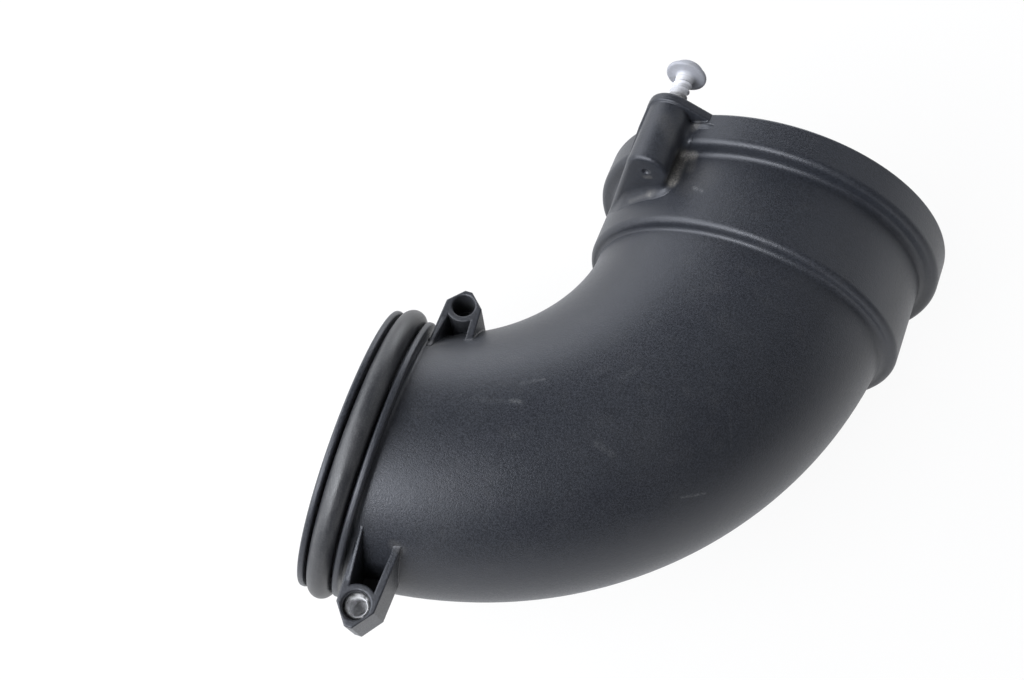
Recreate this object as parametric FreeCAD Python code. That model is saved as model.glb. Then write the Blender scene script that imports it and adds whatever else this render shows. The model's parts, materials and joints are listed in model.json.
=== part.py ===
import FreeCAD, Part
import math
import os

# All lengths are millimetres and all angles are degrees.
# The bend lies in the XY plane and the spigot leaves along -X from the origin.

# Centreline of the duct
SPIGOT_LEAD = 1.8
BEND_R = 101.4
BEND_ANGLE = 85.5
MOUTH_LEAD = 25.2

# Duct wall, growing from the spigot to the mouth
WALL = 2.6
BODY_R_SPIGOT = 38.0
BODY_R_STEP = 47.7
BEND_SECTIONS = 12
SPIGOT_BLEND = 12.0

# Spigot end: lip, seal groove and second flange
GROOVE_RISE = 0.4
GROOVE_W = 8.4
LIP_H = 5.1
LIP_T = 1.9
FLANGE_H = 4.9
FLANGE_T = 2.0
NECK_RISE = 0.5
FLANGE_ROUND = 0.7
FLANGE_COVE = 1.2

# Seal ring
SEAL_D = 7.0
SEAL_SEAT_GAP = 0.05

# Mouth: collar, cuff and the stepped socket inside them
COLLAR_STEP = 5.2
COLLAR_H = 10.9
CUFF_STEP = 3.9
CUFF_H = 37.3
CUFF_TILT = 2.5
STEP_ROUND = 2.0
STEP_COVE = 1.8
RIM_ROUND = 0.8
COLLAR_WALL = 3.2
CUFF_WALL = 3.0
FLOOR_T = 3.0

# Screw boss and lug beside the mouth
BOSS_OUT = 4.27
BOSS_ANGLE = 42.81
BOSS_R = 6.5
BOSS_H = 24.3
BOSS_ROUND = 1.4
LUG_R = 7.3
LUG_T = 3.0
LUG_FOOT = 54.4
PIT_R = 1.2
PIT_DEPTH = 0.9

# Screw standing part way out of the boss
SCREW_R = 3.0
SCREW_HOLE_GAP = 0.06
SCREW_STAND = 12.0
SCREW_DEPTH = 13.0
SCREW_TIP = 2.0
HEAD_R = 6.35
HEAD_T = 1.4
DOME_R = 5.0
DOME_H = 2.4
SOCKET_AF = 4.6
SOCKET_DEPTH = 1.9
HOLE_SPARE = 2.5

# Ears beside the spigot, leaning with their holes
EAR_X = 19.4
EAR_OUT = 7.0
EAR_TIP = 4.9
INSERT_EAR_X = 20.1
INSERT_EAR_OUT = 8.0
INSERT_EAR_TIP = 6.1
EAR_Z = 24.5
EAR_LEAN = 8.0
EAR_DEPTH = 16.0
EAR_FLOOR = 4.0
EAR_WEB = 1.4
EAR_HALF = 5.5
EAR_SHOULDER = 0.5
EAR_TIP_HALF = 1.1
EAR_RING_WALL = 1.9
EAR_LEG_T = 2.1
EAR_LEG_L = 20.0
EAR_LEG_RISE = 4.2
EAR_SPLAY = 3.0
EAR_HOLE_R = 3.35
INSERT_HOLE_R = 3.9

# Metal insert in the outer ear
INSERT_GAP = 0.04
INSERT_FOOT_GAP = 0.3
INSERT_INNER_R = 2.55
INSERT_SINK = 2.4
INSERT_CHAMFER = 0.5

# Overlap of cutting shapes past the faces that they cut
SPARE = 1.0

V = FreeCAD.Vector
X_AXIS = V(1, 0, 0)
Z_AXIS = V(0, 0, 1)
BEND = math.radians(BEND_ANGLE)
BEND_LEN = BEND_R * BEND
TOTAL_LEN = SPIGOT_LEAD + BEND_LEN + MOUTH_LEAD
STEP_S = TOTAL_LEN - CUFF_H
TAPER = (BODY_R_STEP - BODY_R_SPIGOT) / STEP_S
FLANGE_X = LIP_T + GROOVE_W
SPIGOT_END = FLANGE_X + FLANGE_T
GROOVE_R = BODY_R_SPIGOT + GROOVE_RISE
LIP_R = GROOVE_R + LIP_H
FLANGE_R = GROOVE_R + FLANGE_H
CUFF_R = BODY_R_STEP + CUFF_STEP
COLLAR_R = CUFF_R + COLLAR_STEP
SOCKET_R = CUFF_R - CUFF_WALL
BOSS_E = (COLLAR_R + BOSS_OUT) * math.cos(math.radians(BOSS_ANGLE))
BOSS_Z = (COLLAR_R + BOSS_OUT) * math.sin(math.radians(BOSS_ANGLE))
EAR_Y = GROOVE_R + EAR_OUT
INSERT_EAR_Y = GROOVE_R + INSERT_EAR_OUT
HOLE_DEPTH = EAR_DEPTH - EAR_FLOOR


def along(s):
    """Centre and direction of the centreline at length s from the spigot end."""
    if s <= SPIGOT_LEAD:
        return V(s, 0, 0), V(1, 0, 0)
    turn = min((s - SPIGOT_LEAD) / BEND_R, BEND)
    rest = max(s - SPIGOT_LEAD - BEND_LEN, 0.0)
    way = V(math.cos(turn), math.sin(turn), 0)
    centre = V(SPIGOT_LEAD + BEND_R * math.sin(turn), BEND_R * (1 - math.cos(turn)), 0)
    return centre + way * rest, way


def body_radius(s):
    """Outer radius of the duct at length s."""
    return BODY_R_SPIGOT + TAPER * s


def axes(origin, right, up, out):
    """Placement whose local x, y and z lie along right, up and out."""
    m = FreeCAD.Matrix(
        right.x, up.x, out.x, origin.x,
        right.y, up.y, out.y, origin.y,
        right.z, up.z, out.z, origin.z,
        0, 0, 0, 1,
    )
    return FreeCAD.Placement(m)


def put(shape, placement):
    """Copy of a shape moved to a placement."""
    moved = shape.copy()
    moved.Placement = placement.multiply(moved.Placement)
    return moved


def section(s, radius):
    """Circle round the centreline, square to the spigot's axis as far as the second flange."""
    centre, way = along(s)
    if s < SPIGOT_END:
        way = X_AXIS
    circle = Part.Wire([Part.Circle(V(0, 0, 0), Z_AXIS, radius).toShape()])
    return put(circle, axes(centre, V(-way.y, way.x, 0), Z_AXIS, way))


def tube(starts, end, inset):
    """Tapered solid along the centreline, inset from the outer skin."""
    first = SPIGOT_END + SPIGOT_BLEND
    stops = list(starts)
    stops += [first + (end - first) * i / (BEND_SECTIONS - 1) for i in range(BEND_SECTIONS)]
    return Part.makeLoft([section(s, body_radius(s) - inset) for s in stops], True, False)


def profile(corners):
    """Closed face in the local xz plane; each corner is x, z and a rounding radius."""
    count = len(corners)
    ends = []
    for i in range(count):
        x, z, r = corners[i]
        p = V(x, 0, z)
        if r <= 0:
            ends.append((p, p, None))
            continue
        before = corners[i - 1]
        after = corners[(i + 1) % count]
        a = V(before[0], 0, before[1]) - p
        b = V(after[0], 0, after[1]) - p
        a.normalize()
        b.normalize()
        half = 0.5 * a.getAngle(b)
        reach = r / math.tan(half)
        middle = a + b
        middle.normalize()
        heart = p + middle * (r / math.sin(half))
        ends.append((p + a * reach, p + b * reach, heart - middle * r))
    edges = []
    for i in range(count):
        first, last, bulge = ends[i]
        if bulge is not None:
            edges.append(Part.Arc(first, bulge, last).toShape())
        start = ends[(i + 1) % count][0]
        if last.distanceToPoint(start) > 1e-6:
            edges.append(Part.makeLine(last, start))
    return Part.Face(Part.Wire(edges))


def spun(corners):
    """Solid of revolution of a profile about the local z axis."""
    return profile(corners).revolve(V(0, 0, 0), Z_AXIS, 360)


def prism(points, height):
    """Straight solid over a polygon in the local xy plane."""
    loop = [V(x, y, 0) for x, y in points]
    return Part.Face(Part.makePolygon(loop + loop[:1])).extrude(V(0, 0, height))


def pin(x, y, z, radius, height):
    """Upright cylinder with its foot at x, y, z."""
    return Part.makeCylinder(radius, height, V(x, y, z), Z_AXIS)


def rounded(shape, radius, wanted):
    """Shape with the wanted edges rounded, kept as it was where they will not take the radius."""
    edges = [e for e in shape.Edges if wanted(e)]
    try:
        result = shape.makeFillet(radius, edges)
    except Exception:
        return shape
    return result if result.isValid() and result.Volume > 0 else shape


MOUTH_C, MOUTH_T = along(TOTAL_LEN)
MOUTH = axes(MOUTH_C, V(-MOUTH_T.y, MOUTH_T.x, 0), Z_AXIS, MOUTH_T)
SPIGOT = axes(V(0, 0, 0), V(0, 1, 0), Z_AXIS, X_AXIS)


def spigot_skin():
    """Lip, groove floor and second flange, turned about the spigot axis."""
    core = BODY_R_SPIGOT - WALL - SPARE
    cove_end = SPIGOT_END + FLANGE_COVE + 0.5 * FLANGE_ROUND
    return put(spun([
        (core, 0, 0),
        (LIP_R, 0, FLANGE_ROUND),
        (LIP_R, LIP_T, FLANGE_ROUND),
        (GROOVE_R, LIP_T, 0),
        (GROOVE_R, FLANGE_X, 0),
        (FLANGE_R, FLANGE_X, FLANGE_ROUND),
        (FLANGE_R, SPIGOT_END, FLANGE_ROUND),
        (GROOVE_R + NECK_RISE, SPIGOT_END, FLANGE_COVE),
        (GROOVE_R + NECK_RISE, cove_end, 0),
        (core, cove_end, 0),
    ]), SPIGOT)


def mouth_skin():
    """Collar and cuff about the mouth axis, the cuff ending on a slightly tipped plane."""
    core = SOCKET_R - FLOOR_T
    tip_run = CUFF_R * math.tan(math.radians(CUFF_TILT))
    skirt = CUFF_H + 2 * tip_run + STEP_ROUND
    solid = spun([
        (core, 0, 0),
        (COLLAR_R, 0, RIM_ROUND),
        (COLLAR_R, -COLLAR_H, STEP_ROUND),
        (CUFF_R, -COLLAR_H, STEP_COVE),
        (CUFF_R, -skirt, 0),
        (core, -skirt, 0),
    ])
    size = 3 * COLLAR_R
    below = Part.makeBox(size, size, size, V(-size / 2, -size / 2, -size))
    below.rotate(V(0, 0, 0), V(0, 1, 0), -CUFF_TILT)
    below.translate(V(0, 0, -CUFF_H))
    solid = solid.cut(below)
    low = -CUFF_H + 2 * tip_run + STEP_ROUND
    rim = rounded(solid, STEP_ROUND, lambda e: e.BoundBox.ZMax < low and e.Length > 6.2 * CUFF_R)
    return put(rim, MOUTH)


def boss_skin():
    """Screw boss along the mouth axis with straight flanks, and the lug at the mouth plane."""
    left = BOSS_E - BOSS_R
    right = BOSS_E + BOSS_R
    arch = Part.Arc(V(left, BOSS_Z, 0), V(BOSS_E, BOSS_Z + BOSS_R, 0), V(right, BOSS_Z, 0)).toShape()
    wire = Part.Wire([
        arch,
        Part.makeLine(V(right, BOSS_Z, 0), V(right, 0, 0)),
        Part.makeLine(V(right, 0, 0), V(left, 0, 0)),
        Part.makeLine(V(left, 0, 0), V(left, BOSS_Z, 0)),
    ])
    boss = Part.Face(wire).extrude(V(0, 0, -BOSS_H))
    low = -BOSS_H + 0.01
    boss = rounded(boss, BOSS_ROUND, lambda e: e.BoundBox.ZMax < low and e.BoundBox.YMax > 1.0)
    boss = boss.cut(pin(BOSS_E, BOSS_Z, -BOSS_H, PIT_R, PIT_DEPTH))
    turn = math.radians(LUG_FOOT)
    foot = V(COLLAR_R * math.cos(turn), COLLAR_R * math.sin(turn), 0)
    heart = V(BOSS_E, BOSS_Z, 0)
    to_foot = foot - heart
    bearing = math.atan2(to_foot.y, to_foot.x) - math.acos(LUG_R / to_foot.Length)
    touch = heart + V(math.cos(bearing), math.sin(bearing), 0) * LUG_R
    flank = heart + V(LUG_R, 0, 0)
    crown = heart + V(math.cos(0.5 * bearing), math.sin(0.5 * bearing), 0) * LUG_R
    edges = [
        Part.makeLine(V(0, 0, 0), foot),
        Part.makeLine(foot, touch),
        Part.Arc(touch, crown, flank).toShape(),
        Part.makeLine(flank, V(flank.x, 0, 0)),
        Part.makeLine(V(flank.x, 0, 0), V(0, 0, 0)),
    ]
    lug = Part.Face(Part.Wire(edges)).extrude(V(0, 0, -LUG_T))
    lug = lug.cut(pin(0, 0, -2 * LUG_T, SOCKET_R - FLOOR_T, 4 * LUG_T))
    return put(boss, MOUTH), put(lug, MOUTH)


def ear_place(x, y):
    """Axes at the front of an ear's hole, leaning back along the duct."""
    lean = math.radians(EAR_LEAN)
    right = V(math.cos(lean), 0, math.sin(lean))
    out = V(-math.sin(lean), 0, math.cos(lean))
    return axes(V(x, y, EAR_Z), right, V(0, 1, 0), out)


def ear_skin(x, y, hole_r, tip):
    """Ear with a faceted end, two legs and a pocket, and the blind hole to cut from it."""
    side = math.copysign(1, y)
    ring = hole_r + EAR_RING_WALL
    splay = EAR_LEG_L * math.tan(math.radians(EAR_SPLAY))
    gap = EAR_HALF - EAR_LEG_T
    outline = [
        (-EAR_HALF - splay, -EAR_LEG_L),
        (-EAR_HALF, EAR_SHOULDER),
        (-EAR_TIP_HALF, tip),
        (EAR_TIP_HALF, tip),
        (EAR_HALF, EAR_SHOULDER),
        (EAR_HALF + splay, -EAR_LEG_L),
    ]
    between = [
        (-gap - splay, -EAR_LEG_L - SPARE),
        (-gap, -EAR_RING_WALL),
        (gap, -EAR_RING_WALL),
        (gap + splay, -EAR_LEG_L - SPARE),
    ]
    skin = prism([(u, side * v) for u, v in outline], -EAR_DEPTH)
    pocket = prism([(u, side * v) for u, v in between], EAR_WEB - EAR_DEPTH - SPARE)
    pocket.translate(V(0, 0, SPARE))
    pocket = pocket.cut(pin(0, 0, -EAR_DEPTH, ring, 2 * EAR_DEPTH))
    rise = [
        V(-EAR_HALF, -side * ring, 0),
        V(-EAR_HALF - splay, -side * EAR_LEG_L, EAR_LEG_RISE),
        V(-EAR_HALF - splay, -side * EAR_LEG_L, -EAR_LEG_RISE),
    ]
    rib = Part.Face(Part.makePolygon(rise + rise[:1])).extrude(V(EAR_LEG_T, 0, 0))
    hole = pin(0, 0, -HOLE_DEPTH, hole_r, HOLE_DEPTH + SPARE)
    place = ear_place(x, y)
    return put(skin.cut(pocket).fuse(rib), place), put(hole, place)


def duct_body():
    """One moulded piece: bend, spigot, mouth, boss and ears with the air way cut through."""
    neck = FLANGE_X + FLANGE_T / 2
    outer = tube([neck], STEP_S + 2 * FLOOR_T, 0.0)
    boss, lug = boss_skin()
    skins = [spigot_skin(), mouth_skin(), boss, lug]
    holes = []
    ears = (
        (EAR_X, EAR_Y, EAR_HOLE_R, EAR_TIP),
        (INSERT_EAR_X, -INSERT_EAR_Y, INSERT_HOLE_R, INSERT_EAR_TIP),
    )
    for x, y, hole_r, tip in ears:
        skin, hole = ear_skin(x, y, hole_r, tip)
        skins.append(skin)
        holes.append(hole)
    body = outer.fuse(skins).removeSplitter()
    bore = tube([-SPARE, neck / 2, neck], STEP_S + 3 * FLOOR_T, WALL)
    floor = CUFF_H - FLOOR_T
    socket = put(spun([
        (0, SPARE, 0),
        (COLLAR_R - COLLAR_WALL, SPARE, 0),
        (COLLAR_R - COLLAR_WALL, -COLLAR_H + FLOOR_T, STEP_COVE),
        (SOCKET_R, -COLLAR_H + FLOOR_T, STEP_ROUND * 0.5),
        (SOCKET_R, -floor, STEP_COVE),
        (0, -floor, 0),
    ]), MOUTH)
    screw_way = put(
        pin(BOSS_E, BOSS_Z, -SCREW_DEPTH - HOLE_SPARE, SCREW_R + SCREW_HOLE_GAP,
            SCREW_DEPTH + HOLE_SPARE + SPARE), MOUTH)
    return body.cut([bore, socket, screw_way] + holes).removeSplitter()


def spigot_seal():
    """Ring of round section seated on the groove floor."""
    centre_r = GROOVE_R + SEAL_SEAT_GAP + SEAL_D / 2
    middle = LIP_T + GROOVE_W / 2
    return Part.makeTorus(centre_r, SEAL_D / 2, V(middle, 0, 0), X_AXIS)


def mouth_screw():
    """Washer-head screw part way into the boss, its head away from the duct."""
    top = SCREW_STAND + HEAD_T
    solid = spun([
        (0, -SCREW_DEPTH, 0),
        (0.4 * SCREW_R, -SCREW_DEPTH, 0),
        (SCREW_R, -SCREW_DEPTH + SCREW_TIP, 0),
        (SCREW_R, SCREW_STAND, 0.5),
        (HEAD_R, SCREW_STAND, 0.4),
        (HEAD_R, top, 0.4),
        (DOME_R, top, 0.4),
        (0.8 * DOME_R, top + DOME_H, 1.2),
        (0, top + DOME_H, 0),
    ])
    corner = SOCKET_AF / math.sqrt(3)
    six = [(corner * math.cos(math.radians(60 * k)), corner * math.sin(math.radians(60 * k))) for k in range(6)]
    socket = prism(six, SOCKET_DEPTH + SPARE)
    socket.translate(V(0, 0, top + DOME_H - SOCKET_DEPTH))
    solid = solid.cut(socket)
    solid.translate(V(BOSS_E, BOSS_Z, 0))
    return put(solid, MOUTH)


def ear_insert():
    """Threaded metal sleeve pressed into the outer ear, sunk below its front face."""
    r = INSERT_HOLE_R - INSERT_GAP
    top = -INSERT_SINK
    low = INSERT_FOOT_GAP - HOLE_DEPTH
    c = INSERT_CHAMFER
    solid = spun([
        (INSERT_INNER_R, low + c, 0),
        (INSERT_INNER_R + c, low, 0),
        (r - c, low, 0),
        (r, low + c, 0),
        (r, top - c, 0),
        (r - c, top, 0),
        (INSERT_INNER_R + c, top, 0),
        (INSERT_INNER_R, top - c, 0),
    ])
    return put(solid, ear_place(INSERT_EAR_X, -INSERT_EAR_Y))


os.makedirs("parts", exist_ok=True)
for name, make in (
    ("duct_body", duct_body),
    ("spigot_seal", spigot_seal),
    ("mouth_screw", mouth_screw),
    ("ear_insert", ear_insert),
):
    shape = make()
    print(name, shape.ShapeType, len(shape.Solids), shape.isValid(), round(shape.Volume), shape.BoundBox)
    solid = shape.Solids[0] if len(shape.Solids) == 1 else shape
    solid.exportStep("parts/%s.step" % name)
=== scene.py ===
"""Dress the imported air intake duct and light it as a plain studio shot."""
import json
import logging
import math
from dataclasses import dataclass, field
from enum import Enum
from typing import Any, Callable, Optional, Sequence, Union

import bpy
import numpy as np
from mathutils import Matrix, Vector


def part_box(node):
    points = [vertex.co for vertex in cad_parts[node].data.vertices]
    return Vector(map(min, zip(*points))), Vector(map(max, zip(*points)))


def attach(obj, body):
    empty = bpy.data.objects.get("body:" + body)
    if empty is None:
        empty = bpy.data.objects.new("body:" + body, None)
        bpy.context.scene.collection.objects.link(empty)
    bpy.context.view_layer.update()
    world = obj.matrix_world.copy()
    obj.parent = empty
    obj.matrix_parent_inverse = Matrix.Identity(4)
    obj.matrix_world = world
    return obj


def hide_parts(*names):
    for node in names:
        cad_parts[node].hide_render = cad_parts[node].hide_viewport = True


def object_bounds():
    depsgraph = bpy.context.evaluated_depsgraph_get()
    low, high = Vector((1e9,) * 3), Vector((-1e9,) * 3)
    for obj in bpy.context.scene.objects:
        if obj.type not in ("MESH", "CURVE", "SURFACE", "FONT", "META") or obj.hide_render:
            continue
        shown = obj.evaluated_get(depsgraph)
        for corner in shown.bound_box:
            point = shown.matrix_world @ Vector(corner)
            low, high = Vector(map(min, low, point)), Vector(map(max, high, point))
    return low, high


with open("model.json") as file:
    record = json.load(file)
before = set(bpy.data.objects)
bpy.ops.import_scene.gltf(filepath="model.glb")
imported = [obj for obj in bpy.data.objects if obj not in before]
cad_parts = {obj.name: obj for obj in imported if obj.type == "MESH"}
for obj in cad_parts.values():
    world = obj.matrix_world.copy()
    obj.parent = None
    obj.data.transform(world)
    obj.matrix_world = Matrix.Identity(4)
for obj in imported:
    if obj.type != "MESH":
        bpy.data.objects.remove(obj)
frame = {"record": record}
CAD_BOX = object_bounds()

LOG = logging.getLogger("air_intake_duct")
MM = 0.001
PHOTO_WIDTH = 1024
SENSOR = 36.0
BODY = "root"
AXIS_R = 0.05

Array = np.ndarray
Piece = bpy.types.Object
Field = Callable[[Array], Array]
Colour = tuple[float, float, float, float]
Point = tuple[float, ...]


class Slot(Enum):
    """Material slots of the record."""

    PLASTIC = "black_plastic"
    RUBBER = "seal_rubber"
    ZINC = "zinc_steel"
    STEEL = "insert_steel"


class Side(Enum):
    """Sides of the spigot on which an ear stands, as the sign of Y."""

    INNER = 1.0
    OUTER = -1.0


def mount(name: str) -> dict:
    """Return the record's mount of that name."""
    return next(m for m in frame["record"]["mounts"] if m["name"] == name)


def smooth(x: Union[Array, float]) -> Array:
    """Return the smooth step of x, 0 below 0 and 1 above 1."""
    t = np.clip(x, 0.0, 1.0)
    return t * t * (3.0 - 2.0 * t)


def angles(count: int) -> Array:
    """Return the angles of points spread evenly round a ring."""
    return np.arange(count) * 2.0 * math.pi / count


def thread(height: Array, phi: Array, pitch: float, half: float, flat: float) -> Array:
    """Return how far a helical ridge rises, from a foot 2 half wide to a crest cut off at 1."""
    place = np.mod(height / pitch - phi[None, :] / (2.0 * math.pi), 1.0)
    return np.clip(flat * (1.0 - np.abs(place - 0.5) / half), 0.0, 1.0)


def turned(r: Array, phi: Array, height: Array) -> Array:
    """Return rings of points about the third axis from radii, angles and heights."""
    across, along = r * np.cos(phi)[None, :], r * np.sin(phi)[None, :]
    return np.stack([across, along, np.broadcast_to(height, r.shape)], axis=-1)


@dataclass(frozen=True)
class Centreline:
    """Path of the duct in the XY plane, in millimetres from the spigot end.

    The mouth's place and direction come from the frame's mounts.
    """

    lead: float = 1.8
    bend_r: float = 101.4

    @property
    def way(self) -> Array:
        """Return the direction out of the mouth."""
        return np.array(mount("mouth")["axis"], float)

    @property
    def angle(self) -> float:
        """Return the angle of the bend in radians."""
        return math.atan2(self.way[1], self.way[0])

    @property
    def mouth(self) -> Array:
        """Return the centre of the mouth's rim."""
        inside = np.array(mount("mouth")["pos_m"]) / MM
        rim = np.array(mount("mouth_rim")["pos_m"]) / MM
        return inside + self.way * float((rim - inside) @ self.way)

    @property
    def bend_end(self) -> float:
        """Return the length at which the bend ends."""
        return self.lead + self.bend_r * self.angle

    @property
    def length(self) -> float:
        """Return the whole length from the spigot end to the rim."""
        turn = self.angle
        straight = (self.mouth[1] - self.bend_r * (1.0 - math.cos(turn))) / math.sin(turn)
        return self.bend_end + straight

    def turn(self, s: float) -> float:
        """Return the direction of the path at length s, in radians."""
        return min(max(s - self.lead, 0.0) / self.bend_r, self.angle)

    def at(self, s: float) -> Array:
        """Return the point of the path at length s."""
        turn = self.turn(s)
        over = s - self.bend_end if s > self.bend_end else min(s - self.lead, 0.0)
        way = np.array([math.cos(turn), math.sin(turn), 0.0])
        x = self.lead + self.bend_r * math.sin(turn)
        y = self.bend_r * (1.0 - math.cos(turn))
        return np.array([x, y, 0.0]) + way * over

    def from_mouth(self, p: Array) -> Array:
        """Return points given along the mouth's axes: into the bend's inside, up and out."""
        x, y, _ = self.way
        return self.mouth + p @ np.stack([(-y, x, 0.0), (0.0, 0.0, 1.0), self.way], axis=1).T

    def nearest(self, p: Array) -> tuple[Array, Array]:
        """Return the length and the in-plane offset from the path of each point.

        Args:
            p: Points near the spigot or the bend, one per row.

        Returns:
            Lengths along the path, and distances towards the outside of the bend.
        """
        x = p[:, 0] - self.lead
        y = p[:, 1] - self.bend_r
        turn = np.arctan2(np.maximum(x, 0.0), -y)
        s = self.lead + np.where(x > 0, self.bend_r * turn, x)
        return s, np.where(x > 0, np.hypot(x, y), -y) - self.bend_r


PATH = Centreline()


def union_round(a: Array, b: Array, r: Union[Array, float]) -> Array:
    """Return the union of two distance fields with a round fillet of radius r."""
    reach = np.hypot(np.maximum(r - a, 0.0), np.maximum(r - b, 0.0))
    return np.maximum(r, np.minimum(a, b)) - reach


def common_round(a: Array, b: Array, r: float) -> Array:
    """Return the common part of two distance fields with its edges rounded to r."""
    reach = np.hypot(np.maximum(r + a, 0.0), np.maximum(r + b, 0.0))
    return np.minimum(-r, np.maximum(a, b)) + reach


def slab(t: Array, low: float, high: float) -> Array:
    """Return the distance field of the layer between low and high."""
    return np.abs(t - 0.5 * (low + high)) - 0.5 * (high - low)


def polygon(x: Array, y: Array, corners: Sequence[tuple[float, float]]) -> Array:
    """Return the signed distance to a closed polygon.

    Args:
        x: First coordinates of the points.
        y: Second coordinates of the points.
        corners: Corners of the polygon in order.

    Returns:
        Distances, negative inside.
    """
    best = np.full(x.shape, np.inf)
    inside = np.zeros(x.shape, bool)
    for (ax, ay), (bx, by) in zip(corners, list(corners[1:]) + [corners[0]]):
        dx, dy = bx - ax, by - ay
        k = np.clip(((x - ax) * dx + (y - ay) * dy) / (dx * dx + dy * dy), 0.0, 1.0)
        best = np.minimum(best, np.hypot(x - ax - k * dx, y - ay - k * dy))
        if dy:
            spans = (ay > y) != (by > y)
            inside ^= spans & (x < (y - ay) * dx / dy + ax)
    return np.where(inside, -best, best)


def skin_of(shape: Field, low: Point, high: Point, step: float) -> tuple[Array, Array]:
    """Return the skin of a distance field as points and quads.

    Args:
        shape: Distance field, negative inside.
        low: Lowest corner of the box that holds the shape.
        high: Highest corner of that box.
        step: Spacing of the grid.

    Returns:
        Points, one per row, and the four point numbers of each face.
    """
    low = np.array(low, float)
    counts = np.ceil((np.array(high) - low) / step).astype(int) + 1
    ticks = [low[i] + step * np.arange(counts[i]) for i in range(3)]
    grid = np.stack(np.meshgrid(*ticks, indexing="ij"), axis=-1).reshape(-1, 3)
    values = shape(grid).reshape(counts)
    inside = values < 0.0
    size = counts - 1
    filled = np.zeros(size, int)
    for i, j, k in np.ndindex(2, 2, 2):
        filled += inside[i : i + size[0], j : j + size[1], k : k + size[2]]
    active = (filled > 0) & (filled < 8)
    cells = np.argwhere(active)
    number = np.full(size, -1)
    number[active] = np.arange(len(cells))
    sums = np.zeros((len(cells), 3))
    hits = np.zeros(len(cells))
    unit = np.eye(3, dtype=int)
    for axis in range(3):
        for i, j in np.ndindex(2, 2):
            first = cells + i * unit[(axis + 1) % 3] + j * unit[(axis + 2) % 3]
            a = values[tuple(first.T)]
            b = values[tuple((first + unit[axis]).T)]
            cross = (a < 0) != (b < 0)
            part = np.where(cross, a / np.where(cross, a - b, 1.0), 0.0)
            sums += np.where(cross[:, None], first + part[:, None] * unit[axis], 0.0)
            hits += cross
    points = low + step * sums / hits[:, None]
    quads = []
    for axis in range(3):
        b, c = unit[(axis + 1) % 3], unit[(axis + 2) % 3]
        rise = np.diff(inside.astype(int), axis=axis)
        for sign in (1, -1):
            edges = np.argwhere(rise == sign)
            beside = [k for k in range(3) if k != axis]
            last = counts[beside] - 1
            keep = (edges[:, beside] >= 1) & (edges[:, beside] < last)
            e = edges[keep.all(axis=1)]
            ring = [number[tuple(q.T)] for q in (e, e - b, e - b - c, e - c)]
            quads.append(np.stack(ring if sign < 0 else ring[::-1], axis=1))
    return settle(shape, points, step), np.concatenate(quads)


def settle(shape: Field, points: Array, step: float, rounds: int = 3) -> Array:
    """Return points moved onto the zero of a distance field.

    Args:
        shape: Distance field.
        points: Points near its zero, one per row.
        step: Spacing of the grid that the points came from.
        rounds: Times that the points are moved.

    Returns:
        The moved points.
    """
    probe, least_slope, reach = 0.05 * step, 0.2, 0.4 * step
    for _ in range(rounds):
        value = shape(points)
        sides = [(points + probe * d, points - probe * d) for d in np.eye(3)]
        slope = np.stack([shape(a) - shape(b) for a, b in sides], axis=1)
        slope /= 2.0 * probe
        steep = np.maximum((slope**2).sum(axis=1), least_slope)
        move = value[:, None] * slope / steep[:, None]
        points = points - np.clip(move, -reach, reach)
    return points


def add_object(name: str, data: bpy.types.ID) -> Piece:
    """Add an object to the scene and return it."""
    made = bpy.data.objects.new(name, data)
    bpy.context.scene.collection.objects.link(made)
    return made


def make_piece(
    name: str, points: Array, faces: Union[Array, list], slot: Slot, *nodes: str
) -> Piece:
    """Add a smooth mesh that rides on the body and stands for CAD nodes.

    Args:
        name: Name of the piece.
        points: Points in millimetres.
        faces: Point numbers of each face.
        slot: Material slot of the record; not used.
        nodes: CAD nodes that the piece stands for.

    Returns:
        The new object.
    """
    mesh = bpy.data.meshes.new(name)
    rows = faces.tolist() if isinstance(faces, np.ndarray) else faces
    mesh.from_pydata((points * MM).tolist(), [], rows)
    mesh.validate()
    mesh.shade_smooth()
    piece = add_object(name, mesh)
    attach(piece, BODY)
    if nodes:
        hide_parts(*nodes)
    LOG.info("%s: %d points, %d faces", name, len(points), len(rows))
    return piece


def stack(rings: Array, closed: bool) -> list[tuple[int, ...]]:
    """Return the quads between rings of points.

    Args:
        rings: Array of rings, points round a ring and three coordinates.
        closed: True where the last ring joins the first one.

    Returns:
        Faces as point numbers.
    """
    count, around = rings.shape[:2]
    faces = []
    for i in range(count if closed else count - 1):
        a, b = i * around, (i + 1) % count * around
        faces += [(a + j, a + (j + 1) % around, b + (j + 1) % around, b + j) for j in range(around)]
    return faces


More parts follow.
